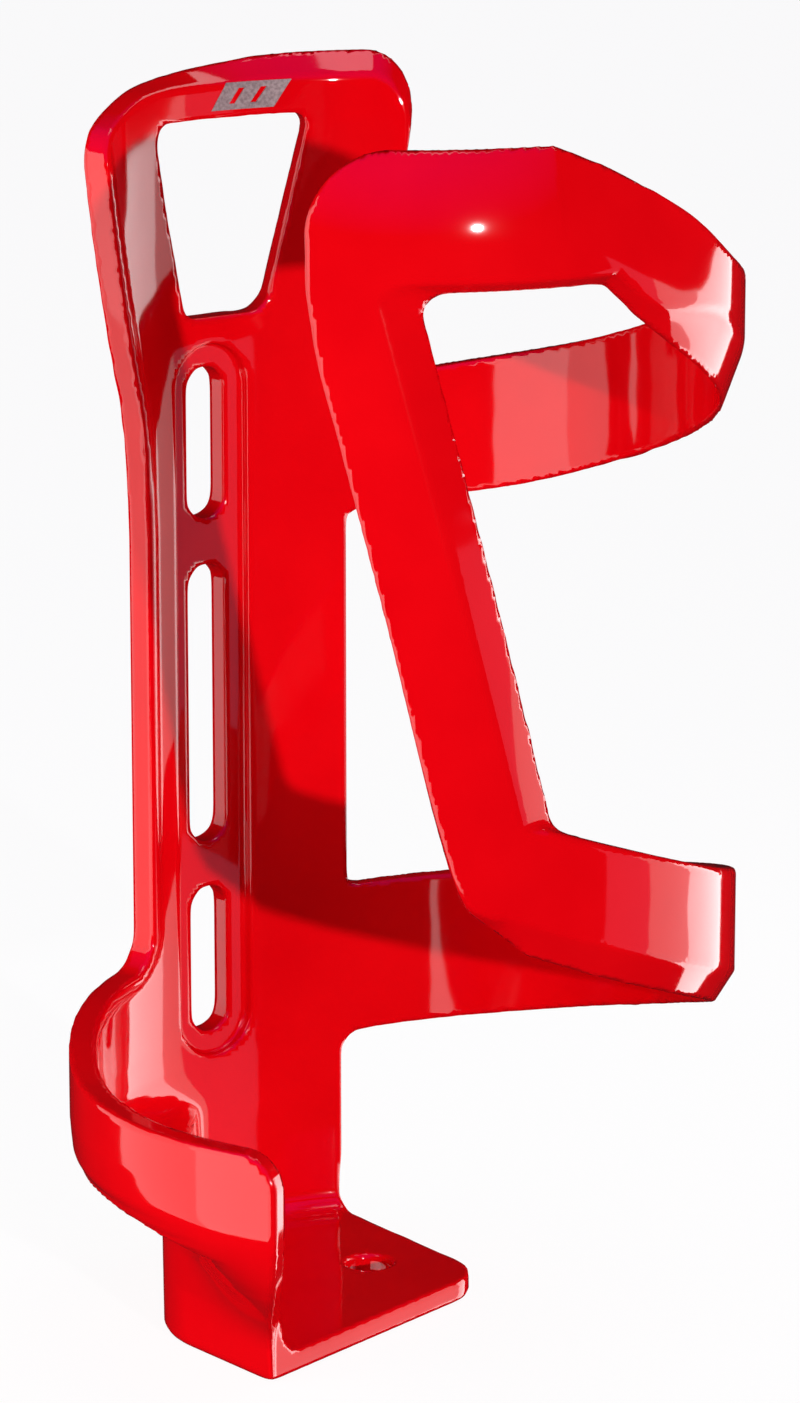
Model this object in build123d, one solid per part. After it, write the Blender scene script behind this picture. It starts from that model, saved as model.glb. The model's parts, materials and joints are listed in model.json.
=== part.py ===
"""Side-entry water bottle cage, moulded in glossy plastic.

Frame: +Z runs up along the bottle, +Y points to the bicycle tube, and the origin
is the middle of the bolt pattern, on the face that rests against the tube.
The cage wall is a shell around the bottle. A place on it is given by an angle,
a radius from the bottle's centre line and a height. The angle is 0 at the tube,
and grows through the right-hand side (+X) to the front and on to the left.
"""
from build123d import *
from math import cos, hypot, pi, radians, sin, sqrt
import os

# ---- driving dimensions, mm and degrees ----
INNER_RADIUS = 36.0          # wall inside, sprung on to a 73 to 74 mm bottle
WALL = 2.9                   # wall thickness
OUTER_RADIUS = INNER_RADIUS + WALL
RAIL_BACK = 39.4             # centre line to the face that rests on the tube
BOLT_SPACING = 64.0          # standard bottle-boss spacing

SLOT_WIDTH = 6.0
END_SLOT = 19.0              # length of the two bolt slots
MIDDLE_SLOT = 35.0           # length of the slot between them
RAIL_WIDTH = 10.6            # recess that the bolt heads sit in
RAIL_LENGTH = 88.0
RAIL_FLOOR = 2.5
FLAT_HALF_WIDTH = 6.9        # flat land on the wall around the recess
FLAT_DEPTH = sqrt(INNER_RADIUS ** 2 - FLAT_HALF_WIDTH ** 2)

BACK_LEFT = -17.0            # back plate, left edge
BACK_RIGHT = 27.6            # back plate, right edge
HEAD_BOTTOM = 38.0
HEAD_TOP = 77.8
HEAD_BEVEL = 2.6             # slope of the head's top edge

HINGE_ANGLE = 44.0           # where the arm's two bands flex
HINGE_GAP = 0.05
CLASP_ANGLE = 150.0          # where each band turns into its front part
STRUT_FOOT_ANGLE = 192.6     # right-hand end of the strut's foot
STRUT_TOP_ANGLE = 235.0      # left-hand end of the upper clasp
CLASP_FLOOR = 60.2           # underside of the upper clasp
STRUT_FOOT_TOP = 0.4

HOOK_END = -119.4            # front edge of the side hook
HOOK_FLOOR = -46.0
SKIRT_FLOOR = -58.0
TAB_TOP = -66.3              # the bottle stands on this face
TAB_THICKNESS = 2.7
TAB_BOTTOM = TAB_TOP - TAB_THICKNESS
FOOT_SIDE = -24.4            # middle of the foot wall, from the centre line
FOOT_FRONT = -7.6
FOOT_BACK = 12.5
FOOT_JOIN = -5.0             # angle where the foot wall meets the back plate
TAB_HOLE_RADIUS = 2.85
TAB_HOLE = (6.1, 13.7)

PATCH_THICKNESS = 0.15
ANGLE_STEP = 6.0             # between the sections of a band's edge
CLEAR = 8.0                  # how far a cutting tool passes the wall
REACH = 120.0

# ---- edges of the wall, each as (angle, height) points joined smoothly ----
UPPER_TOP = [(27.6, 37.4), (70, 43.1), (100, 49.2), (130, 56.4), (160, 64.8), (180, 71.2), (193, 75.6)]
UPPER_FLOOR = [(27.6, 22.1), (60, 25.5), (90, 31.5), (120, 38.9), (150, 47.2), (172, 54.8), (183, 60.2)]
LOWER_TOP = [(27.6, -25.0), (60, -22.3), (90, -18.6), (120, -14.2), (150, -9.3), (180, -3.1), (195, 0.4)]
LOWER_FLOOR = [(27.6, -43.7), (60, -40.6), (90, -36.4), (120, -31.0), (150, -25.0), (180, -18.2), (203, -12.4)]
HOOK_TOP = [(-119.4, -36.6), (-90, -36.3), (-70, -35.6), (-50, -33.4), (-34, -31.6), (-17, -30.6)]
# strut edges as (height, angle) points
STRUT_LEFT = [(-13, 201.0), (-10.4, 204.5), (-7.6, 209.0), (-3, 211.9), (25, 222.4), (45, 229.9), (53, 233.0),
              (61, 235.0)]
STRUT_RIGHT = [(0.4, 192.6), (30, 204.5), (61, 217.2)]


def smooth(points):
    """A smooth function through the points, straight beyond the first and last."""
    xs = [x for x, _ in points]
    ys = [y for _, y in points]
    slopes = [(ys[i + 1] - ys[i]) / (xs[i + 1] - xs[i]) for i in range(len(xs) - 1)]
    inner = [2 * a * b / (a + b) if a * b > 0 else 0 for a, b in zip(slopes, slopes[1:])]
    grads = [slopes[0]] + inner + [slopes[-1]]

    def value(x):
        if x <= xs[0]:
            return ys[0]
        if x >= xs[-1]:
            return ys[-1]
        i = max(k for k in range(len(xs) - 1) if xs[k] <= x)
        width = xs[i + 1] - xs[i]
        t = (x - xs[i]) / width
        start = (1 + 2 * t) * (1 - t) ** 2 * ys[i] + t * (1 - t) ** 2 * width * grads[i]
        end = t * t * (3 - 2 * t) * ys[i + 1] + t * t * (t - 1) * width * grads[i + 1]
        return start + end

    return value


upper_top = smooth(UPPER_TOP)
upper_floor = smooth(UPPER_FLOOR)
lower_top = smooth(LOWER_TOP)
lower_floor = smooth(LOWER_FLOOR)
hook_top = smooth(HOOK_TOP)
strut_left = smooth(STRUT_LEFT)
strut_right = smooth(STRUT_RIGHT)


def ramp(x, low, high):
    """0 below low, 1 above high, an even S-curve between."""
    t = min(1.0, max(0.0, (x - low) / (high - low)))
    return t * t * (3 - 2 * t)


def at(angle, radius, height):
    """The point at an angle and radius from the bottle's centre line."""
    turn = radians(angle)
    return Vector(radius * sin(turn), radius * cos(turn) - RAIL_BACK, height)


def steps(start, end, step):
    """Evenly spaced values from start to end."""
    count = max(1, round(abs(end - start) / step))
    return [start + (end - start) * i / count for i in range(count + 1)]


def polygon(points):
    """A flat face with straight sides through the points."""
    return Face(Wire.make_polygon(points, close=True))


def sector(start, end, low, high, inner=INNER_RADIUS, outer=OUTER_RADIUS):
    """A piece of the round wall between two angles and two heights."""
    middle = (start + end) / 2
    edges = [
        Edge.make_three_point_arc(at(start, inner, low), at(middle, inner, low), at(end, inner, low)),
        Edge.make_line(at(end, inner, low), at(end, outer, low)),
        Edge.make_three_point_arc(at(end, outer, low), at(middle, outer, low), at(start, outer, low)),
        Edge.make_line(at(start, outer, low), at(start, inner, low)),
    ]
    return extrude(Face(Wire(edges)), amount=high - low, dir=(0, 0, 1))


def swept(start, end, profile):
    """A solid around the centre line; profile(angle) gives its (radius, height) corners."""
    angles = steps(start, end, ANGLE_STEP)
    faces = [polygon([at(a, r, z) for r, z in profile(a)]) for a in angles]
    return Solid.make_loft([face.outer_wire() for face in faces], ruled=True)


def stacked(heights, profile):
    """A solid of level layers; profile(height) gives its (angle, radius) corners."""
    faces = [polygon([at(a, r, z) for a, r in profile(z)]) for z in heights]
    return Solid.make_loft([face.outer_wire() for face in faces], ruled=True)


INSIDE = INNER_RADIUS - CLEAR
OUTSIDE = OUTER_RADIUS + CLEAR


def above(edge, start, end):
    """Everything above an edge of the wall."""

    def profile(a):
        return [(INSIDE, edge(a)), (OUTSIDE, edge(a)), (OUTSIDE, REACH), (INSIDE, REACH)]

    return swept(start, end, profile)


def below(edge, start, end, bevel):
    """Everything below an edge of the wall, which slopes up by bevel(angle) to the outside."""

    def profile(a):
        low = edge(a)
        lip = bevel(a)
        return [(INSIDE, -REACH), (OUTSIDE, -REACH), (OUTSIDE, low + lip), (OUTER_RADIUS, low + lip),
                (INNER_RADIUS, low), (INSIDE, low)]

    return swept(start, end, profile)


def band(start, end, top, floor, bevel):
    """A stretch of band with a sloped lower edge."""
    past = 1.0
    wall = sector(start, end, floor(start) - CLEAR, top(end) + CLEAR)
    wall -= above(top, start - past, end + past)
    return wall - below(floor, start - past, end + past, bevel)


def upper_bevel(angle):
    return 0.8 + 5.0 * ramp(angle, 50, 90) - 4.4 * ramp(angle, 160, 205)


def lower_bevel(angle):
    return 0.8 + 2.3 * ramp(angle, 50, 90)


def upright(points, radius=0.0):
    """A block along Y whose outline is given by (x, z) points, with rounded corners."""
    outline = Polyline(*points, close=True)
    face = Plane.XZ * make_face(outline)
    if radius:
        face = fillet(face.vertices(), radius)
    return extrude(face, amount=REACH, both=True)


def head_frame():
    """The flared top of the cage, with its window and sloped top edge."""
    wall = sector(-33, 44, HEAD_BOTTOM, HEAD_TOP)
    right = OUTER_RADIUS * sin(radians(BACK_RIGHT))
    outline = [(-11.4, HEAD_BOTTOM), (-13.2, 41.0), (-20.2, 67.4), (-18.6, 70.2), (-15.0, 72.4), (-9.9, 74.3),
               (-2.2, 75.9), (4.4, 77.0), (14.0, HEAD_TOP), (20.6, HEAD_TOP), (24.0, 75.9), (25.5, 71.5),
               (25.4, 66.0), (20.4, 47.0), (right, HEAD_BOTTOM)]
    head = rail_seat(wall & upright(outline), HEAD_BOTTOM, 47.2)
    low = HEAD_TOP - HEAD_BEVEL
    bevel = swept(-34, 45, lambda a: [(INSIDE, low), (INNER_RADIUS, low), (OUTER_RADIUS, HEAD_TOP),
                                      (OUTSIDE, HEAD_TOP), (OUTSIDE, REACH), (INSIDE, REACH)])
    window = upright([(-8.6, 71.0), (13.4, 71.0), (8.0, 47.2), (-3.8, 47.2)], 2.0)
    return head - bevel - window


def printed_patch():
    """A thin slanted patch printed on the head, with two plain stripes left open."""
    low = 71.6
    tall = 3.2
    wide = 8.4
    lean = 2.2
    patch = sector(-5, 25, low - 1, low + tall + 1, INNER_RADIUS - PATCH_THICKNESS, INNER_RADIUS)
    left = 0.6
    right = left + wide
    patch &= upright([(left, low), (right, low), (right + lean, low + tall), (left + lean, low + tall)])
    stripe = 0.8
    margin = 0.7
    for left in (3.1, 6.0):
        patch -= upright([(left, low + margin), (left + stripe, low + margin),
                          (left + stripe + 1.4, low + tall - margin), (left + 1.4, low + tall - margin)])
    return patch


def pill(width, length, front, back, height=0.0):
    """A round-ended block standing along Z, from front to back along Y."""
    face = Plane.XZ * Pos(0, height) * Rot(0, 0, 90) * SlotOverall(length, width)
    return Pos(0, back, 0) * extrude(face, amount=back - front)


def mounting_rail():
    """The recessed floor that the bolts clamp, with its three slots."""
    rail = pill(RAIL_WIDTH, RAIL_LENGTH, -RAIL_FLOOR, 0)
    rail -= pill(SLOT_WIDTH, MIDDLE_SLOT, -CLEAR, CLEAR)
    for height in (-BOLT_SPACING / 2, BOLT_SPACING / 2):
        rail -= pill(SLOT_WIDTH, END_SLOT, -CLEAR, CLEAR, height)
    return rail


def rail_seat(wall, low, high):
    """The wall with its flat land and the opening that the rail sits in."""
    land = Box(2 * FLAT_HALF_WIDTH, 1.5, high - low)
    wall += Pos(0, FLAT_DEPTH + 0.75 - RAIL_BACK, (low + high) / 2) * land
    return wall - pill(RAIL_WIDTH, RAIL_LENGTH, -REACH, REACH)


def beyond(edge, heights, far):
    """Everything between the angle far and an upright edge given by edge(height)."""
    return stacked(heights, lambda z: [(far, INSIDE), (edge(z), INSIDE), (edge(z), OUTSIDE), (far, OUTSIDE)])


def back_left(height):
    """Left edge of the back plate, which moves in towards the foot."""
    return BACK_LEFT + (FOOT_JOIN - BACK_LEFT) * ramp(HOOK_FLOOR - height, 0, HOOK_FLOOR - SKIRT_FLOOR)


def back_plate():
    """The wall along the tube, open where the rail sits."""
    wall = sector(BACK_LEFT, BACK_RIGHT, TAB_BOTTOM, HEAD_BOTTOM)
    heights = [TAB_BOTTOM - 1] + steps(SKIRT_FLOOR, HOOK_FLOOR, 3.0)
    return rail_seat(wall, TAB_BOTTOM, HEAD_BOTTOM) - beyond(back_left, heights, -60)


def foot_path(t):
    """Middle of the foot wall seen from above, from its front edge (t = 0) to the back plate."""
    corner = 0.45
    if t < corner:
        return FOOT_SIDE, FOOT_FRONT + (FOOT_BACK - FOOT_FRONT) * t / corner
    part = (t - corner) / (1 - corner)
    end = radians(FOOT_JOIN)
    middle = (INNER_RADIUS + OUTER_RADIUS) / 2
    return (FOOT_SIDE + (middle * sin(end) - FOOT_SIDE) * part,
            FOOT_BACK + (middle * cos(end) - FOOT_BACK) * part)


def skirt_path(t, height):
    """Middle of the wall between the round hook and the foot."""
    inward = ramp(HOOK_FLOOR - height, 0, HOOK_FLOOR - SKIRT_FLOOR)
    turn = radians(HOOK_END + (BACK_LEFT - HOOK_END) * t)
    middle = (INNER_RADIUS + OUTER_RADIUS) / 2
    x, y = foot_path(t)
    return middle * sin(turn) * (1 - inward) + x * inward, middle * cos(turn) * (1 - inward) + y * inward


def foot_layer(height, thickness):
    """A level section through the skirt or the foot wall."""
    count = 24
    outer = []
    inner = []
    for i in range(count + 1):
        t = i / count
        x, y = skirt_path(t, height)
        x0, y0 = skirt_path(max(0, t - 0.02), height)
        x1, y1 = skirt_path(min(1, t + 0.02), height)
        length = hypot(x1 - x0, y1 - y0)
        nx = -(y1 - y0) / length * thickness / 2
        ny = (x1 - x0) / length * thickness / 2
        outer.append(Vector(x + nx, y + ny - RAIL_BACK, height))
        inner.append(Vector(x - nx, y - ny - RAIL_BACK, height))
    return Wire.make_polygon(outer + inner[::-1], close=True)


def side_hook():
    """The open hook on the left, which holds the foot of the bottle."""
    wall = sector(HOOK_END, BACK_LEFT, HOOK_FLOOR, hook_top(BACK_LEFT) + CLEAR)
    return wall - above(hook_top, HOOK_END - 1, BACK_LEFT + 1)


def hook_skirt():
    """The wall that draws in from the hook to the narrower foot."""
    swell = 1.5
    layers = []
    for height in steps(HOOK_FLOOR, SKIRT_FLOOR, 2.0):
        part = (HOOK_FLOOR - height) / (HOOK_FLOOR - SKIRT_FLOOR)
        layers.append(foot_layer(height, WALL + swell * sin(pi * part)))
    return Solid.make_loft(layers, ruled=True) - back_plate()


# seen from above: what is cut off the foot wall's front end, which slants back on the inside
SLANTED_END = [(FOOT_SIDE - WALL / 2, FOOT_FRONT), (FOOT_SIDE, FOOT_FRONT - 1), (FOOT_SIDE + WALL, FOOT_FRONT),
               (FOOT_SIDE + WALL, FOOT_FRONT + 3.6), (FOOT_SIDE + WALL / 2, FOOT_FRONT + 2.4)]


def foot_wall():
    """The upright wall of the foot."""
    layers = [foot_layer(SKIRT_FLOOR, WALL), foot_layer(TAB_BOTTOM, WALL)]
    wall = Solid.make_loft(layers, ruled=True) - back_plate()
    return wall - Pos(0, -RAIL_BACK, -REACH) * extrude(make_face(Polyline(*SLANTED_END, close=True)), REACH)


def foot_tab():
    """The flat tab between the foot's walls, which the bottle stands on, with its round hole."""
    end = radians(FOOT_JOIN)
    middle = (INNER_RADIUS + OUTER_RADIUS) / 2
    corner = radians(BACK_RIGHT)
    outline = [(FOOT_SIDE, FOOT_FRONT + 2.4), (15.1, 3.2), (16.4, 28.5),
               (OUTER_RADIUS * sin(corner), OUTER_RADIUS * cos(corner)),
               (8.0, 37.0), (middle * sin(end), middle * cos(end)), (FOOT_SIDE, FOOT_BACK)]
    face = make_face(Polyline(*[(x, y - RAIL_BACK) for x, y in outline], close=True))
    tab = Pos(0, 0, TAB_BOTTOM) * extrude(face, amount=TAB_THICKNESS)
    front_right = tab.edges().filter_by(Axis.Z).sort_by(lambda e: e.center().Y - e.center().X)[0]
    tab = fillet(front_right, 5.0) - back_plate() - foot_wall()
    hole = Pos(TAB_HOLE[0], TAB_HOLE[1] - RAIL_BACK, TAB_BOTTOM) * Cylinder(
        TAB_HOLE_RADIUS, 3 * TAB_THICKNESS)
    return tab - hole


def upper_band_root():
    return band(BACK_RIGHT, HINGE_ANGLE, upper_top, upper_floor, upper_bevel)


def lower_band_root():
    return band(BACK_RIGHT, HINGE_ANGLE, lower_top, lower_floor, lower_bevel)


def upper_band():
    return band(HINGE_ANGLE + HINGE_GAP, CLASP_ANGLE, upper_top, upper_floor, upper_bevel)


def lower_band():
    return band(HINGE_ANGLE + HINGE_GAP, CLASP_ANGLE, lower_top, lower_floor, lower_bevel)


def upper_clasp():
    """The front of the upper band, with a crowned roof and a rounded left corner."""
    clasp = band(CLASP_ANGLE, STRUT_TOP_ANGLE, upper_top, upper_floor, upper_bevel)
    crown = 10.0

    def roof(angle):
        """Outside of the crown, which rounds over to the inner edge of the top."""
        high = upper_top(angle)
        depth = crown * ramp(angle, 150, 185)
        rim = INNER_RADIUS + 1
        turns = steps(0, pi / 2, pi / 8)
        arc = [(rim + (OUTER_RADIUS - rim) * cos(turn), high - depth * (1 - sin(turn))) for turn in turns]
        return arc + [(rim, REACH), (OUTSIDE, REACH), (OUTSIDE, high - depth)]

    clasp -= swept(CLASP_ANGLE + 0.01, STRUT_TOP_ANGLE + 1, roof)
    corner = 9.0
    turn = corner / OUTER_RADIUS * 180 / pi
    centre = CLASP_FLOOR + 6.4

    def outside_corner(angle):
        across = (angle - (STRUT_TOP_ANGLE - turn)) / turn
        high = centre + corner * sqrt(max(0.0, 1 - min(1.0, across) ** 2))
        return [(INSIDE, high), (OUTSIDE, high), (OUTSIDE, REACH), (INSIDE, REACH)]

    return clasp - swept(STRUT_TOP_ANGLE - turn, STRUT_TOP_ANGLE + 0.5, outside_corner)


def lower_clasp():
    """The front of the lower band, up to the strut's foot."""
    return band(CLASP_ANGLE, STRUT_FOOT_ANGLE, lower_top, lower_floor, lower_bevel)


def front_strut():
    """The slanted strut that joins the two clasps."""
    wall = sector(180, 245, STRUT_FOOT_TOP, CLASP_FLOOR)
    heights = steps(STRUT_FOOT_TOP, CLASP_FLOOR, 5.0)

    def right(z):
        edge = strut_right(z)
        return [(edge, INSIDE), (edge, INNER_RADIUS), (edge + 6, OUTER_RADIUS), (edge + 6, OUTSIDE),
                (170, OUTSIDE), (170, INSIDE)]

    return wall - beyond(strut_left, heights, 250) - stacked(heights, right)


def strut_foot():
    """The corner where the strut runs into the lower clasp."""
    low = -13.0
    wall = sector(STRUT_FOOT_ANGLE, 245, low - 4, STRUT_FOOT_TOP)
    heights = steps(low, STRUT_FOOT_TOP, 1.5)
    floor = below(lower_floor, STRUT_FOOT_ANGLE - 1, 246, lower_bevel)
    return wall - beyond(strut_left, heights, 250) - floor


NODES = {
    "head_frame": head_frame,
    "printed_patch": printed_patch,
    "back_plate": back_plate,
    "mounting_rail": mounting_rail,
    "side_hook": side_hook,
    "hook_skirt": hook_skirt,
    "foot_wall": foot_wall,
    "foot_tab": foot_tab,
    "upper_band_root": upper_band_root,
    "lower_band_root": lower_band_root,
    "upper_band": upper_band,
    "upper_clasp": upper_clasp,
    "front_strut": front_strut,
    "strut_foot": strut_foot,
    "lower_band": lower_band,
    "lower_clasp": lower_clasp,
}

os.makedirs("parts", exist_ok=True)
for name, build in NODES.items():
    export_step(build(), f"parts/{name}.step")
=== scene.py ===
"""Looks of the side-entry bottle cage: one glossy red moulding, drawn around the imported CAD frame.

The moulding's shape is a field in millimetres, negative inside the plastic, with its origin on the
bottle's centre line. A place on the wall is given by an angle round that line, which is 0 at the
bicycle tube and grows through the right-hand side to the front, and by a height.
"""
import json
from math import cos, pi, radians, sin, sqrt

import bmesh
import bpy
import numpy as np
from mathutils import Matrix, Vector


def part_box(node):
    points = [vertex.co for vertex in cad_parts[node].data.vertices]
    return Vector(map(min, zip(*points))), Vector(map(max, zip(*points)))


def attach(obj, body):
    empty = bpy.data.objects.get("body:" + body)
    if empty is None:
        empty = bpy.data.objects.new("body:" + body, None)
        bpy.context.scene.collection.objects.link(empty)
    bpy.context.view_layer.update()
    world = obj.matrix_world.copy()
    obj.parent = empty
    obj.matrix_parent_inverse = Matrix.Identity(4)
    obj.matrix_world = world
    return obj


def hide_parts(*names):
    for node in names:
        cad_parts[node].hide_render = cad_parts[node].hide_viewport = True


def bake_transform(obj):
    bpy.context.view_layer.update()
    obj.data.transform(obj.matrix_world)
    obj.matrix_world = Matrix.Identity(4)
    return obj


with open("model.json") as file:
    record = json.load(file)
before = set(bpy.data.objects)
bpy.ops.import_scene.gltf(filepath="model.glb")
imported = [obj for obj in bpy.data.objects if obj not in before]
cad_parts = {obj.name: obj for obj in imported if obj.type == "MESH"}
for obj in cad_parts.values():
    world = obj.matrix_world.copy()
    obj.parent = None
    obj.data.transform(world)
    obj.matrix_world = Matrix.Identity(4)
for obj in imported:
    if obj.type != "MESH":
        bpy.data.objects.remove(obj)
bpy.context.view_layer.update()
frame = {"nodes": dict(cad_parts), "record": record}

MOUNTS = {mount["name"]: mount for mount in frame["record"]["mounts"]}

# ---- sizes of the moulding, mm and degrees ----
MM = 1000                 # millimetres in a metre
AXIS_Y = MM * MOUNTS["bottle"]["pos_m"][1]        # the bottle's centre line in the row frame
INNER = 36.0
WALL = 2.9
MIDDLE = INNER + WALL / 2
MM_PER_DEGREE = radians(MIDDLE)

RAIL_BACK = -AXIS_Y
RAIL_FLOOR = 2.8
RAIL_WIDTH = 10.6
RAIL_LENGTH = 88.0
SLOT_WIDTH = 5.7
SLOT_SHIFT = -0.15
END_SLOT = 18.6
MIDDLE_SLOT = 34.6
BOLT_SPACING = MOUNTS["frame_bolts"]["dims"]["spacing_y_mm"]
# the flat land around the rail's recess is a chord of the wall's inside
LAND_LEFT = -5.3
LAND_RIGHT = 6.9
LAND_LEFT_Y = sqrt(INNER ** 2 - LAND_LEFT ** 2)
LAND_SLOPE = (sqrt(INNER ** 2 - LAND_RIGHT ** 2) - LAND_LEFT_Y) / (LAND_RIGHT - LAND_LEFT)

BACK_RIGHT = 27.6
HOOK_END = -119.4
TAB_TOP = MM * MOUNTS["foot_top"]["pos_m"][2]
TAB_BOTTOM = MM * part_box("foot_tab")[0].z
FOOT_SIDE = -24.4
FOOT_FRONT = -7.6
FOOT_LEAN = 0.1           # the foot's side draws in by this much per mm towards the bottom
HOLE_PLACE = MOUNTS["foot_hole"]["pos_m"]
TAB_HOLE = (MM * HOLE_PLACE[0], MM * HOLE_PLACE[1] - AXIS_Y)
TAB_HOLE_RADIUS = MOUNTS["foot_hole"]["dims"]["r_mm"]
CROWN_HEIGHT = 10.0       # the upper clasp's roof leans in over this height
CROWN_DEPTH = 2.4
CROWN_CURVE = 1.7         # power by which the lean grows towards the top edge
EDGE_ROUNDING = 0.35
EDGE_LAND = 0.5           # upright part of a slanted edge, next to the inside
RIM_HEIGHT = 0.35         # low raised rim inside the left edge
CUT_Y = 28.6              # level at which both bands change from the cage's back to the arm
WINDOW_TOP = 70.7
WINDOW_FLOOR = 47.2

# ---- upright faces of the foot and the tab, each as a point and the direction outwards ----
FOOT_BACK = ((FOOT_SIDE, 12.5), (-0.762, 0.648))
FOOT_END = ((FOOT_SIDE - WALL / 2, FOOT_FRONT), (0.636, -0.772))
TAB_FRONT = ((-8.6, -2.6), (0.207, -0.978))
TAB_RIGHT = ((16.2, 28.5), (0.9987, -0.0513))

# ---- edges of the wall, as (angle, height) points joined smoothly ----
UPPER_TOP = [(27.6, 37.4), (70, 43.1), (100, 49.2), (130, 56.3), (150, 61.2), (165, 67.1), (180, 72.2),
             (193, 75.6)]
UPPER_FLOOR = [(27.6, 22.1), (60, 25.5), (90, 31.5), (120, 38.9), (150, 47.2), (172, 54.8), (183, 60.2)]
LOWER_TOP = [(27.6, -25.0), (60, -22.3), (90, -18.6), (120, -14.2), (150, -9.2), (180, -2.7), (195, 0.8)]
LOWER_FLOOR = [(27.6, -43.7), (60, -40.6), (90, -36.4), (120, -31.0), (150, -25.0), (180, -18.2),
               (203, -12.4)]
HOOK_TOP = [(HOOK_END, -36.6), (-90, -36.3), (-70, -35.6), (-50, -33.4), (-34, -31.6), (-17, -30.6)]
HEAD_TOP = [(-33, 69.4), (-28.3, 71.4), (-22.7, 73.2), (-14.7, 75.1), (-3.3, 76.3), (6.5, 77.0), (14, 77.5),
            (21, 77.7), (44, 77.8)]
# upright edges, as (height, angle) points
STRUT_LEFT = [(-13, 200.7), (-10.4, 204.2), (-7.6, 208.6), (-3, 211.5), (25, 222.1), (45, 229.8), (53, 233.0),
              (61, 235.0)]
STRUT_RIGHT = [(0.4, 192.5), (30, 204.5), (61, 217.2)]
BACK_LEFT = [(22, -17.0), (28, -17.4), (34, -18.1), (38, -19.2), (42, -21.0), (55, -26.5), (64, -29.9),
             (68, -31.2), (78, -34.0)]
HEAD_RIGHT = [(34, 27.6), (38, 28.8), (47, 33.0), (56, 37.2), (66, 40.7), (70, 41.4), (78, 42.0)]
WINDOW_LEFT = [(47.2, -5.6), (70.9, -13.7)]
WINDOW_RIGHT = [(47.2, 12.8), (70.9, 22.0)]
# how far the wall has drawn in from the round hook (0) to the foot (1), by height
DRAWN_IN = [(-56.5, 1.0), (-53.4, 0.975), (-51.7, 0.92), (-50.7, 0.8), (-49.9, 0.56), (-48.8, 0.3),
            (-47.2, 0.12), (-45, 0.02), (-42, 0.0)]


# ---- the field ----
def smooth(points):
    """A smooth function through the points, level beyond the first and last."""
    xs, ys = np.array(points, float).T
    slopes = np.diff(ys) / np.diff(xs)
    same = slopes[:-1] * slopes[1:] > 0
    inner = np.where(same, 2 * slopes[:-1] * slopes[1:] / np.where(same, slopes[:-1] + slopes[1:], 1), 0)
    grads = np.concatenate([slopes[:1], inner, slopes[-1:]])

    def value(x):
        i = np.clip(np.searchsorted(xs, x) - 1, 0, len(xs) - 2)
        width = xs[i + 1] - xs[i]
        t = np.clip((x - xs[i]) / width, 0, 1)
        start = (1 + 2 * t) * (1 - t) ** 2 * ys[i] + t * (1 - t) ** 2 * width * grads[i]
        end = t * t * (3 - 2 * t) * ys[i + 1] + t * t * (t - 1) * width * grads[i + 1]
        return start + end

    return value


def over(points):
    """Signed distance above an edge given by (angle, height) points."""
    edge = smooth(points)

    def distance(angle, z):
        slope = (edge(angle + 0.5) - edge(angle - 0.5)) / MM_PER_DEGREE
        return (z - edge(angle)) / np.sqrt(1 + slope ** 2)

    return distance


def beside(points):
    """Signed distance past an upright edge given by (height, angle) points, towards larger angles."""
    edge = smooth(points)

    def distance(angle, z):
        slope = (edge(z + 0.5) - edge(z - 0.5)) * MM_PER_DEGREE
        return (angle - edge(z)) * MM_PER_DEGREE / np.sqrt(1 + slope ** 2)

    return distance


over_upper_top = over(UPPER_TOP)
over_upper_floor = over(UPPER_FLOOR)
over_lower_top = over(LOWER_TOP)
over_lower_floor = over(LOWER_FLOOR)
over_hook_top = over(HOOK_TOP)
over_head_top = over(HEAD_TOP)
past_strut_left = beside(STRUT_LEFT)
past_strut_right = beside(STRUT_RIGHT)
past_back_left = beside(BACK_LEFT)
past_head_right = beside(HEAD_RIGHT)
past_window_left = beside(WINDOW_LEFT)
past_window_right = beside(WINDOW_RIGHT)
drawn_in = smooth(DRAWN_IN)


def ramp(x, low, high):
    """0 below low, 1 above high, an even S-curve between."""
    t = np.clip((x - low) / (high - low), 0, 1)
    return t * t * (3 - 2 * t)


def past(x, y, face):
    """Signed distance beyond an upright face."""
    point, outward = face
    return (x - point[0]) * outward[0] + (y - point[1]) * outward[1]


def both(a, b, radius):
    """What is inside a and inside b, with the edge between them rounded."""
    corner = np.hypot(np.maximum(radius + a, 0), np.maximum(radius + b, 0))
    return np.minimum(-radius, np.maximum(a, b)) + corner


def either(a, b, radius):
    """What is inside a or inside b, with a fillet between them."""
    return -both(-a, -b, radius)


def bevelled(edge, depth, width):
    """An edge of the wall cut at a slant: whole up to EDGE_LAND deep, and moved in by width at depth WALL."""
    slant = np.maximum(depth - EDGE_LAND, 0) * width / (WALL - EDGE_LAND)
    return (slant + edge) * WALL / np.hypot(width, WALL)


def draw_in(y, z):
    """How far the wall has drawn in from the round hook (0) to the foot (1): slowly at its front end."""
    front = ramp(-y, -12, 14)
    return drawn_in(z) * (1 - front) + ramp(-z, 45, 65) * front


def wall_middle(x, y, z):
    """Distance outside the middle of the wall: round above, drawn in to a flat-sided foot below."""
    round_wall = np.hypot(x, y) - MIDDLE
    side = FOOT_SIDE + FOOT_LEAN * np.clip(-z - 55, 0, 14) - x
    foot = both(both(side, past(x, y, FOOT_BACK), 1.6), round_wall, 3.0)
    inward = draw_in(y, z)
    return round_wall * (1 - inward) + foot * inward


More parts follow.
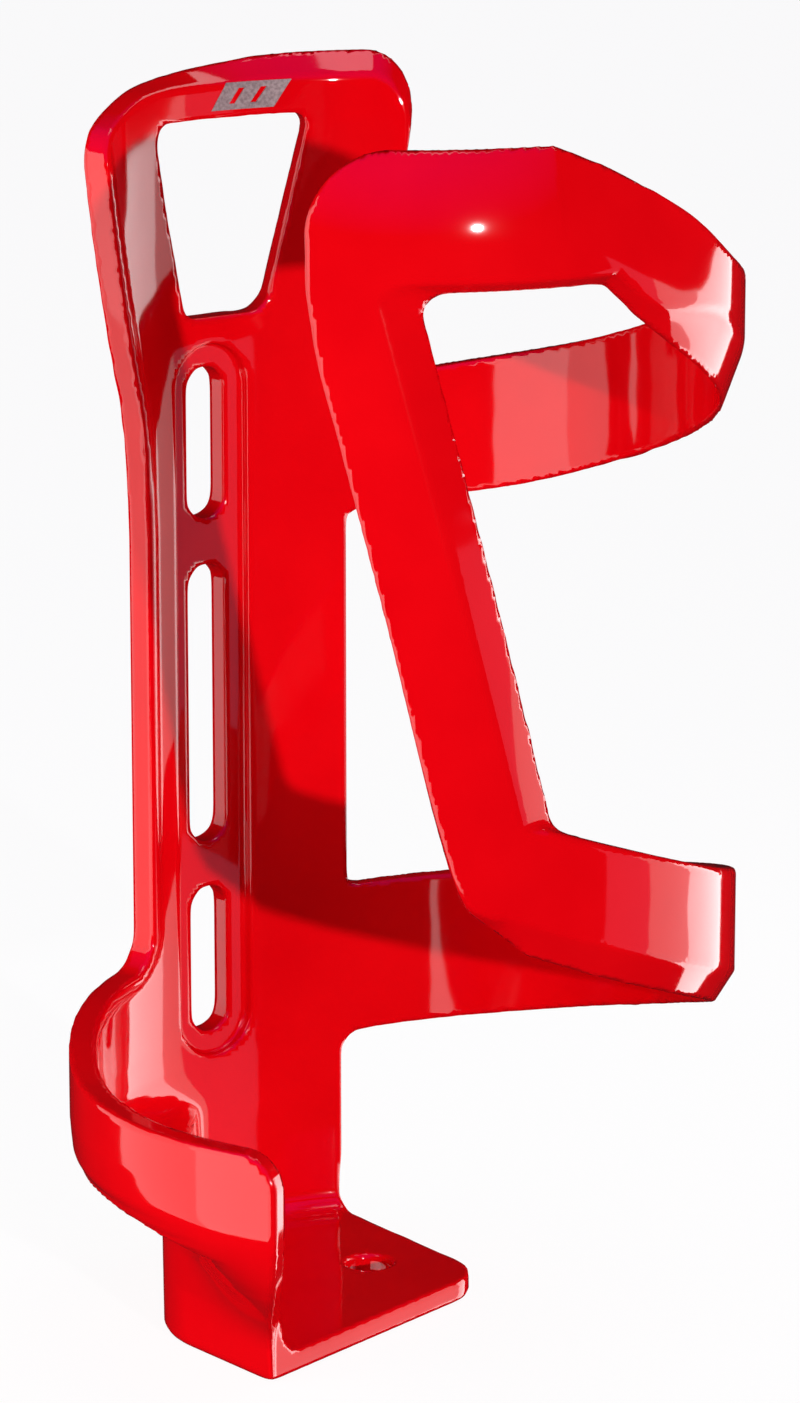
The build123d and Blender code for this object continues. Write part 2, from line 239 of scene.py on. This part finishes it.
def wall_distance(x, y, z):
    """wall_middle scaled so that it measures true distance from the wall."""
    step = 0.05
    value = wall_middle(x, y, z)
    slope_z = (wall_middle(x, y, z + step) - wall_middle(x, y, z - step)) / (2 * step)
    return value / np.sqrt(1 + slope_z ** 2)


def cup(x, y, z, middle, raised):
    """The wall and the tab below it, before their outlines are cut."""
    outside = both(middle - WALL / 2, TAB_BOTTOM - z, 1.0)
    land = y - LAND_LEFT_Y - LAND_SLOPE * (x - LAND_LEFT) - 0.7 * ramp(z, 44, 50)
    cavity = both(both(middle + WALL / 2 + raised, land, 0.6), TAB_TOP - z, 2.8)
    return np.maximum(outside, -cavity)


def crown(angle, z, middle):
    """The roof of the upper clasp, which leans in more and more towards its top edge."""
    part = np.clip(1 + over_upper_top(angle, z) / CROWN_HEIGHT, 0, 1.2)
    depth = CROWN_DEPTH * ramp(angle, 150, 185)
    slope = CROWN_CURVE * depth * part ** (CROWN_CURVE - 1) / CROWN_HEIGHT
    return (middle - WALL / 2 + depth * part ** CROWN_CURVE) / np.sqrt(1 + slope ** 2)


def arm_outline(angle, z, middle):
    """The two bands, their clasps and the strut."""
    depth = np.clip(middle + WALL / 2, 0, WALL)
    upper_bevel = 0.8 + 5.4 * ramp(angle, 50, 90) - 4.8 * ramp(angle, 152, 178)
    lower_bevel = 0.8 + 3.0 * ramp(angle, 50, 100)
    strut_bevel = 4.2
    band_start = 20
    above_floor = bevelled(-over_upper_floor(angle, z), depth, upper_bevel)
    below_top = both(over_lower_top(angle, z), middle - WALL / 2, 0.9)
    in_strut = bevelled(-past_strut_right(angle, z), depth, strut_bevel)
    by_back = (angle - BACK_RIGHT) * MM_PER_DEGREE
    round_window = either(either(above_floor, in_strut, 2.2), either(below_top, by_back, 1.5), 1.2)
    floor = bevelled(-over_lower_floor(angle, z), depth, lower_bevel)
    outer = both(both(over_upper_top(angle, z), past_strut_left(angle, z), 9.0), floor, 2.0)
    start = (band_start - angle) * MM_PER_DEGREE
    return np.maximum(np.maximum(outer, round_window), start)


def front_end(x, y, z):
    """Distance in front of the hook's end, the foot wall's slanted end and the tab's front edge."""
    end = radians(HOOK_END)
    hook = y * sin(end) - x * cos(end)
    foot = np.minimum(past(x, y, FOOT_END), past(x, y, TAB_FRONT))
    part = draw_in(y, z)
    return hook * (1 - part) + foot * part


def left_edge(x, y, z, angle):
    """Outline of the hook, with its fillet up into the left edge of the back."""
    hook = both(over_hook_top(angle, z), front_end(x, y, z), 4.5)
    spine = np.maximum(-past_back_left(angle, z), -40 - z)
    return either(hook, spine, 4.0)


def rim(angle, z, left):
    """Height of the low raised rim inside the left edge, which fades out at the top and along the hook."""
    fade = ramp(z, -44, -38) * (1 - ramp(z, 66, 70)) * ramp(angle, -80, -50) * (1 - ramp(angle, 0, 10))
    return RIM_HEIGHT * (1 - ramp(-left, 1.0, 2.4)) * fade


def head_window(angle, z):
    """Distance outside the head's window, which has a different rounding in each corner."""
    left = -past_window_left(angle, z)
    right = past_window_right(angle, z)
    upper = both(both(z - WINDOW_TOP, left, 3.0), right, 2.0)
    lower = both(both(WINDOW_FLOOR - z, left, 1.2), right, 2.4)
    return np.maximum(upper, lower)


def back_outline(x, y, z, angle, middle, left):
    """The back plate with the head above it and the hook, skirt and foot below."""
    turn = radians(BACK_RIGHT)
    plate = x * cos(turn) - y * sin(turn)
    low = ramp(-z, 59, 66)
    below_head = plate * (1 - low) + past(x, y, TAB_RIGHT) * low
    right = np.where(z > 36, past_head_right(angle, z), below_head)
    depth = np.clip(middle + WALL / 2, 0, WALL)
    head_top = bevelled(over_head_top(angle, z), WALL - depth, 0.4 + 2.3 * ramp(angle, -25, 20))
    outline = both(both(left, head_top, 3.0), right, np.where(z > 0, 5.7, 5.0))
    outline = both(outline, TAB_BOTTOM - z, 0.8)
    return np.maximum(outline, -head_window(angle, z))


def pill(x, z, width, length, middle=0.0):
    """Distance outside a round-ended upright slot."""
    straight = (length - width) / 2
    return np.hypot(x, np.maximum(np.abs(z - middle) - straight, 0)) - width / 2


def moulding(x, y, z):
    """The whole moulding: negative in the plastic."""
    middle = wall_distance(x, y, z)
    angle = np.degrees(np.arctan2(x, y))
    left = left_edge(x, y, z, angle)
    solid = cup(x, y, z, middle, rim(angle, z, left))
    back = back_outline(x, y, z, angle, middle, left)
    turn = angle % 360            # counted from 0 to 360, as the arm's edges are
    outline = either(back, arm_outline(turn, z, middle), 2.5)
    solid = both(solid, outline, EDGE_ROUNDING)
    upper_front = (y < 0) & (z > 30)
    solid = np.where(upper_front, np.maximum(solid, crown(turn, z, middle)), solid)
    behind = (y > 20) & (np.abs(x) < 12)
    pad = both(pill(x, z, RAIL_WIDTH, RAIL_LENGTH), y - RAIL_BACK, 0.4)
    pad = np.maximum(pad, RAIL_BACK - RAIL_FLOOR - y)
    solid = np.where(behind, np.minimum(solid, pad), solid)
    recess = both(pill(x, z, RAIL_WIDTH, RAIL_LENGTH), y - RAIL_BACK + RAIL_FLOOR, 0.5)
    slots = pill(x - SLOT_SHIFT, z, SLOT_WIDTH, MIDDLE_SLOT)
    for height in (-BOLT_SPACING / 2, BOLT_SPACING / 2):
        slots = np.minimum(slots, pill(x - SLOT_SHIFT, z, SLOT_WIDTH, END_SLOT, height))
    opened = both(both(solid, -recess, 0.5), -slots, 0.25)
    hole = TAB_HOLE_RADIUS - np.hypot(x - TAB_HOLE[0], y - TAB_HOLE[1])
    drilled = both(solid, hole, 0.3)
    return np.where(behind, opened, np.where(z < -60, drilled, solid))


# ---- from field to mesh ----
def sample(cell):
    """The field on a grid a little larger than the moulding, worked out only near the wall and the tab."""
    low = np.array([-42.0, -41.0, -71.0]) + 0.13 * cell
    high = np.array([42.0, 42.0, 80.0])
    counts = np.ceil((high - low) / cell).astype(int)
    axes = [low[i] + cell * np.arange(counts[i]) for i in range(3)]
    x, y, z = np.meshgrid(*axes, indexing="ij", sparse=True)
    middle = wall_middle(x, y, z)
    reach = WALL / 2 + 1.4
    near = (middle < reach) & ((middle > -reach) | (z < TAB_TOP + 5))
    values = np.ones(counts)
    i, j, k = np.nonzero(near)
    values[near] = moulding(axes[0][i], axes[1][j], axes[2][k])
    return values, low


def crossings(values, low, cell):
    """Where the zero level crosses the grid's edges: for each axis the edges and the points."""
    found = []
    for axis in range(3):
        ahead = np.zeros(3, int)
        ahead[axis] = 1
        start = values[tuple(slice(0, n - d) for n, d in zip(values.shape, ahead))]
        end = values[tuple(slice(d, None) for d in ahead)]
        spots = np.argwhere((start < 0) != (end < 0))
        a = start[tuple(spots.T)]
        b = end[tuple(spots.T)]
        part = a / (a - b)
        points = spots.astype(float)
        points[:, axis] += part
        points = low + cell * points
        middle = moulding(*points.T)
        before = (middle < 0) == (a < 0)
        part = np.where(before, part + (1 - part) * middle / np.where(before, middle - b, 1),
                        part * a / np.where(before, 1, a - middle))
        points[:, axis] = low[axis] + cell * (spots[:, axis] + part)
        found.append((ahead, spots, points, a < 0))
    return found


def cells_around(spots, ahead, shape):
    """Flat numbers of the four grid cells round each crossed edge, in order round the edge."""
    across = np.roll(ahead, 1)
    along = np.roll(ahead, 2)
    around = np.stack([spots - across - along, spots - along, spots, spots - across], 1)
    return (around * [shape[1] * shape[2], shape[2], 1]).sum(2)


def summed(cells, amounts, size):
    """The amounts added up by cell, column by column."""
    return np.stack([np.bincount(cells, column, size) for column in amounts.T], 1)


def surface_net(values, low, cell):
    """Points and four-sided faces along the zero level, with the points drawn on to its sharp edges."""
    rings = []
    for ahead, spots, points, leaving in crossings(values, low, cell):
        normal = gradient(points)
        normal /= np.linalg.norm(normal, axis=1)[:, None]
        rings.append((cells_around(spots, ahead, values.shape), points, normal, leaving))
    used = np.unique(np.concatenate([flat.ravel() for flat, *_ in rings]))
    size = len(used)
    index = np.full(values.size, -1)
    index[used] = np.arange(size)
    rings = [(index[flat], *rest) for flat, *rest in rings]

    number = np.zeros(size)
    total = np.zeros((size, 3))
    for cells, points, _, _ in rings:
        for corner in cells.T:
            number += np.bincount(corner, minlength=size)
            total += summed(corner, points, size)
    centre = total / number[:, None]

    # each point goes where the flat pieces of surface through its cell's crossings meet
    holding = 0.08
    planes = np.zeros((size, 3, 3)) + holding * np.eye(3)
    pulls = np.zeros((size, 3))
    mean = np.zeros((size, 3))
    for cells, points, normal, _ in rings:
        for corner in cells.T:
            offset = ((points - centre[corner]) * normal).sum(1)
            mean += summed(corner, normal, size)
            pulls += summed(corner, offset[:, None] * normal, size)
            for i in range(3):
                planes[:, i] += summed(corner, normal[:, i, None] * normal, size)
    shift = np.linalg.solve(planes, pulls[:, :, None])[:, :, 0]
    start = low + cell * np.stack(np.unravel_index(used, values.shape), 1)
    points = np.clip(centre + shift, start, start + cell)

    spread = 1 - np.linalg.norm(mean, axis=1) / number
    faces = np.concatenate([np.where(leaving[:, None], cells, cells[:, ::-1])
                            for cells, _, _, leaving in rings])
    return smooth_edges(points, faces, ramp(spread, 0.01, 0.06)), faces


def smooth_edges(points, faces, weight):
    """Evens out the points along sharp edges, where the weight is 1, and leaves the rest."""
    passes = 6
    start = faces.ravel("F")
    end = np.roll(faces, -1, axis=1).ravel("F")
    size = len(points)
    total = np.bincount(start, weight[end], size) + 1e-6
    share = 0.6 * weight * (total > 0.5)
    for _ in range(passes):
        average = summed(start, (weight[:, None] * points)[end], size) / total[:, None]
        points = points + share[:, None] * (average - points)
    return points


def gradient(points, step=0.03):
    """Direction in which the field grows, at each point. A wide step evens it out across sharp edges."""
    parts = []
    for axis in range(3):
        shift = np.zeros(3)
        shift[axis] = step
        parts.append(moulding(*(points + shift).T) - moulding(*(points - shift).T))
    return np.stack(parts, 1) / (2 * step)


def build_moulding():
    """Points and faces of the whole moulding, in mm about the bottle's centre line."""
    cell = 0.5
    values, low = sample(cell)
    return surface_net(values, low, cell)


def to_frame(points):
    """Millimetres about the bottle's centre line to metres in the row frame."""
    return (points + np.array([0, AXIS_Y, 0])) / MM


def split_at_bands(points, faces):
    """The moulding cut through both bands and closed there: its mesh, the arm's points and the caps."""
    mesh = bpy.data.meshes.new("whole")
    mesh.from_pydata(points.tolist(), [], faces.tolist())
    bm = bmesh.new()
    bm.from_mesh(mesh)
    bpy.data.meshes.remove(mesh)

    def by_bands(face):
        centre = face.calc_center_median()
        return centre.x > 18 and -50 < centre.z < 47

    near = [face for face in bm.faces if by_bands(face) and abs(face.calc_center_median().y - CUT_Y) < 3]
    edges = list({edge for face in near for edge in face.edges})
    verts = list({vert for face in near for vert in face.verts})
    cut = bmesh.ops.bisect_plane(bm, geom=near + edges + verts, plane_co=(0, CUT_Y, 0),
                                 plane_no=(0, 1, 0))["geom_cut"]
    bmesh.ops.split_edges(bm, edges=[item for item in cut if isinstance(item, bmesh.types.BMEdge)])
    rims = [edge for edge in bm.edges if edge.is_boundary]
    caps = bmesh.ops.holes_fill(bm, edges=rims, sides=0)["faces"]
    seed = min(bm.verts, key=lambda v: v.co.y)
    reached = {seed}
    todo = [seed]
    while todo:
        vert = todo.pop()
        for edge in vert.link_edges:
            other = edge.other_vert(vert)
            if other not in reached:
                reached.add(other)
                todo.append(other)
    bm.verts.index_update()
    return bm, reached, set(caps)


def piece_from(bm, verts, caps, name):
    """An object from some of a mesh's vertices, with normals taken from the field."""
    keep = sorted(verts, key=lambda v: v.index)
    number = {vert: i for i, vert in enumerate(keep)}
    points = np.array([vert.co for vert in keep], float)
    faces = [face for face in bm.faces if face.verts[0] in number]
    mesh = bpy.data.meshes.new(name)
    mesh.from_pydata(to_frame(points).tolist(), [], [[number[v] for v in face.verts] for face in faces])
    normals = gradient(points, EDGE_ROUNDING)
    normals /= np.linalg.norm(normals, axis=1)[:, None]
    flat = {i for i, face in enumerate(faces) if face in caps}
    mesh.update()
    corner_normals = []
    for polygon in mesh.polygons:
        if polygon.index in flat:
            corner_normals += [tuple(polygon.normal)] * len(polygon.vertices)
        else:
            corner_normals += [tuple(normals[v]) for v in polygon.vertices]
    mesh.polygons.foreach_set("use_smooth", [True] * len(mesh.polygons))
    mesh.normals_split_custom_set(corner_normals)
    obj = bpy.data.objects.new(name, mesh)
    bpy.context.scene.collection.objects.link(obj)
    return obj


# ---- materials ----
def new_material(name):
    """A material with its nodes, its links and its main shader."""
    material = bpy.data.materials.new(name)
    material.use_nodes = True
    nodes = material.node_tree.nodes
    return material, nodes, material.node_tree.links, nodes["Principled BSDF"]


def red_plastic():
    """Highly polished red plastic, with a slight unevenness of colour and surface."""
    material, nodes, links, shader = new_material("red_plastic")
    shader.inputs["Roughness"].default_value = 0.06
    shader.inputs["IOR"].default_value = 1.5
    place = nodes.new("ShaderNodeTexCoord")
    cloud = nodes.new("ShaderNodeTexNoise")
    cloud.inputs["Scale"].default_value = 60
    cloud.inputs["Detail"].default_value = 3
    links.new(place.outputs["Object"], cloud.inputs["Vector"])
    tint = nodes.new("ShaderNodeValToRGB")
    tint.color_ramp.elements[0].position = 0.3
    tint.color_ramp.elements[0].color = (0.66, 0.0, 0.003, 1)
    tint.color_ramp.elements[1].position = 0.7
    tint.color_ramp.elements[1].color = (0.74, 0.001, 0.004, 1)
    links.new(cloud.outputs["Fac"], tint.inputs["Fac"])
    links.new(tint.outputs["Color"], shader.inputs["Base Color"])
    waves = nodes.new("ShaderNodeTexNoise")
    waves.inputs["Scale"].default_value = 110
    waves.inputs["Detail"].default_value = 1
    links.new(place.outputs["Object"], waves.inputs["Vector"])
    bump = nodes.new("ShaderNodeBump")
    bump.inputs["Strength"].default_value = 0.25
    bump.inputs["Distance"].default_value = 0.0004
    links.new(waves.outputs["Fac"], bump.inputs["Height"])
    links.new(bump.outputs["Normal"], shader.inputs["Normal"])
    return material


def patch_ink():
    """Fine-grained grey-silver ink."""
    material, nodes, links, shader = new_material("patch_ink")
    shader.inputs["Roughness"].default_value = 0.35
    place = nodes.new("ShaderNodeTexCoord")
    grain = nodes.new("ShaderNodeTexNoise")
    grain.inputs["Scale"].default_value = 2500
    links.new(place.outputs["Object"], grain.inputs["Vector"])
    tint = nodes.new("ShaderNodeValToRGB")
    tint.color_ramp.elements[0].position = 0.35
    tint.color_ramp.elements[0].color = (0.2, 0.14, 0.15, 1)
    tint.color_ramp.elements[1].position = 0.65
    tint.color_ramp.elements[1].color = (0.33, 0.25, 0.26, 1)
    links.new(grain.outputs["Fac"], tint.inputs["Fac"])
    links.new(tint.outputs["Color"], shader.inputs["Base Color"])
    return material


# ---- stage ----
def pale_floor():
    """A floor that the camera sees, and that the object's gloss doesn't mirror."""
    mesh = bpy.data.meshes.new("floor")
    reach = 6.0
    height = TAB_BOTTOM / MM
    mesh.from_pydata([(-reach, -reach, height), (reach, -reach, height), (reach, reach, height),
                      (-reach, reach, height)], [], [(0, 1, 2, 3)])
    floor = bpy.data.objects.new("floor", mesh)
    bpy.context.scene.collection.objects.link(floor)
    floor.visible_glossy = False
    floor.visible_diffuse = False
    floor.visible_shadow = False
    material, nodes, links, shader = new_material("pale_floor")
    shader.inputs["Base Color"].default_value = (0.06, 0.06, 0.06, 1)
    shader.inputs["Roughness"].default_value = 0.9
    shader.inputs["Emission Color"].default_value = (1, 1, 1, 1)
    shader.inputs["Emission Strength"].default_value = 0.93
    mesh.materials.append(material)


def softbox(name, place, aim, size, radiance, colour=(1, 1, 1)):
    """A rectangular light of a given brightness. Places are mm about the bottle's centre line."""
    light = bpy.data.lights.new(name, "AREA")
    light.shape = "RECTANGLE"
    light.size = size[0] / MM
    light.size_y = size[1] / MM
    light.energy = radiance * pi * light.size * light.size_y
    light.color = colour
    obj = bpy.data.objects.new(name, light)
    bpy.context.scene.collection.objects.link(obj)
    start = Vector(to_frame(np.array(place, float)))
    end = Vector(to_frame(np.array(aim, float)))
    obj.location = start
    obj.rotation_euler = (end - start).to_track_quat("-Z", "Y").to_euler()
    return obj


def world_light():
    """White behind the object, a weak even fill, and in the gloss a dark sky with a violet glow above."""
    world = bpy.data.worlds.new("studio")
    bpy.context.scene.world = world
    world.use_nodes = True
    nodes = world.node_tree.nodes
    links = world.node_tree.links
    seen = nodes["Background"]
    seen.inputs["Color"].default_value = (1, 1, 1, 1)
    seen.inputs["Strength"].default_value = 0.95
    around = nodes.new("ShaderNodeBackground")
    around.inputs["Color"].default_value = (1, 1, 1, 1)
    around.inputs["Strength"].default_value = 0.2
    mirrored = nodes.new("ShaderNodeBackground")
    direction = nodes.new("ShaderNodeTexCoord")
    facing = nodes.new("ShaderNodeVectorMath")
    facing.operation = "DOT_PRODUCT"
    glow = (-0.30, -0.37, 0.88)
    facing.inputs[1].default_value = glow
    links.new(direction.outputs["Generated"], facing.inputs[0])
    sky = nodes.new("ShaderNodeValToRGB")
    sky.color_ramp.elements[0].position = 0.5
    sky.color_ramp.elements[0].color = (0.008, 0.008, 0.01, 1)
    sky.color_ramp.elements[1].position = 0.85
    sky.color_ramp.elements[1].color = (0.3, 0.03, 0.6, 1)
    links.new(facing.outputs["Value"], sky.inputs["Fac"])
    links.new(sky.outputs["Color"], mirrored.inputs["Color"])
    path = nodes.new("ShaderNodeLightPath")
    gloss = nodes.new("ShaderNodeMixShader")
    links.new(path.outputs["Is Glossy Ray"], gloss.inputs["Fac"])
    links.new(around.outputs["Background"], gloss.inputs[1])
    links.new(mirrored.outputs["Background"], gloss.inputs[2])
    mix = nodes.new("ShaderNodeMixShader")
    links.new(path.outputs["Is Camera Ray"], mix.inputs["Fac"])
    links.new(gloss.outputs["Shader"], mix.inputs[1])
    links.new(seen.outputs["Background"], mix.inputs[2])
    links.new(mix.outputs["Shader"], nodes["World Output"].inputs["Surface"])


def side_panel(name, x, start, end, low, high, radiance, colour=(1, 1, 1)):
    """An upright light panel on one side, from start to end along Y and from low to high."""
    middle = (start + end) / 2
    height = (low + high) / 2
    softbox(name, (x, middle, height), (0, middle, height), (abs(end - start), high - low), radiance, colour)


def studio():
    """The floor, the surroundings, tall panels on both sides, two softboxes above and a small key light."""
    pale_floor()
    world_light()
    side = 250
    right_low = -250
    right_high = 33
    left_low = -190
    left_high = 170
    side_panel("right_bright", side, 22, -90, right_low, right_high - 1, 4.2)
    side_panel("right_middle", side, -90, -215, right_low, right_high, 1.5)
    side_panel("right_dim", side, -215, -420, right_low, right_high, 0.7, (1.0, 0.45, 0.7))
    side_panel("left_bright", -side, -58, 87, left_low, left_high, 2.6)
    side_panel("left_dim", -side, 87, 700, left_low, left_high, 1.5)
    side_panel("left_low", -side, -58, -200, left_low, -75, 2.2)
    softbox("upper_right", (336, 18, 474), (0, 0, 0), (200, 150), 2.2)
    softbox("zenith", (50, -70, 600), (0, 0, 0), (240, 150), 2.5)
    turn = radians(-104.5)
    rise = radians(9.2)
    far = 1100
    width = 22
    brightness = 0.75
    key = (far * cos(turn) * cos(rise), far * sin(turn) * cos(rise), far * sin(rise))
    softbox("key", key, (0, 0, 0), (width, width), brightness * pi * (far / width) ** 2)


def photo_camera():
    """The camera, at the reference view's azimuth, elevation and distance."""
    azimuth = radians(-39.5)
    elevation = radians(13.4)
    distance = 624.5
    target = np.array([0.860, 1.316, 6.557])      # mm about the bottle's centre line
    right = np.array([cos(azimuth), sin(azimuth), 0])
    up = np.array([-sin(azimuth) * sin(elevation), cos(azimuth) * sin(elevation), cos(elevation)])
    back = np.array([sin(azimuth) * cos(elevation), -cos(azimuth) * cos(elevation), sin(elevation)])
    place = to_frame(target + distance * back)
    camera = bpy.data.cameras.new("camera")
    camera.sensor_fit = "VERTICAL"
    camera.angle = radians(14.803)
    obj = bpy.data.objects.new("camera", camera)
    bpy.context.scene.collection.objects.link(obj)
    turn = Matrix((right, up, back)).transposed()
    obj.matrix_world = Matrix.Translation(Vector(place)) @ turn.to_4x4()
    bpy.context.scene.camera = obj


def moulding_pieces():
    """The cage's back and its arm, both in red plastic."""
    points, faces = build_moulding()
    bm, arm_verts, caps = split_at_bands(points, faces)
    cage_verts = [vert for vert in bm.verts if vert not in arm_verts]
    cage = piece_from(bm, cage_verts, caps, "cage_moulding")
    arm = piece_from(bm, arm_verts, caps, "arm_moulding")
    bm.free()
    red = red_plastic()
    cage.data.materials.append(red)
    arm.data.materials.append(red)
    return cage, arm


bpy.context.scene.view_settings.view_transform = "Standard"
photo_camera()
cage, arm = moulding_pieces()
patch = frame["nodes"]["printed_patch"]
patch.data.materials.clear()
patch.data.materials.append(patch_ink())
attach(cage, "cage_back")
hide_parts("head_frame", "back_plate", "mounting_rail", "side_hook", "hook_skirt", "foot_wall",
            "foot_tab", "upper_band_root", "lower_band_root")
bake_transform(arm)
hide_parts("upper_band", "upper_clasp", "front_strut", "strut_foot", "lower_band", "lower_clasp")
studio()
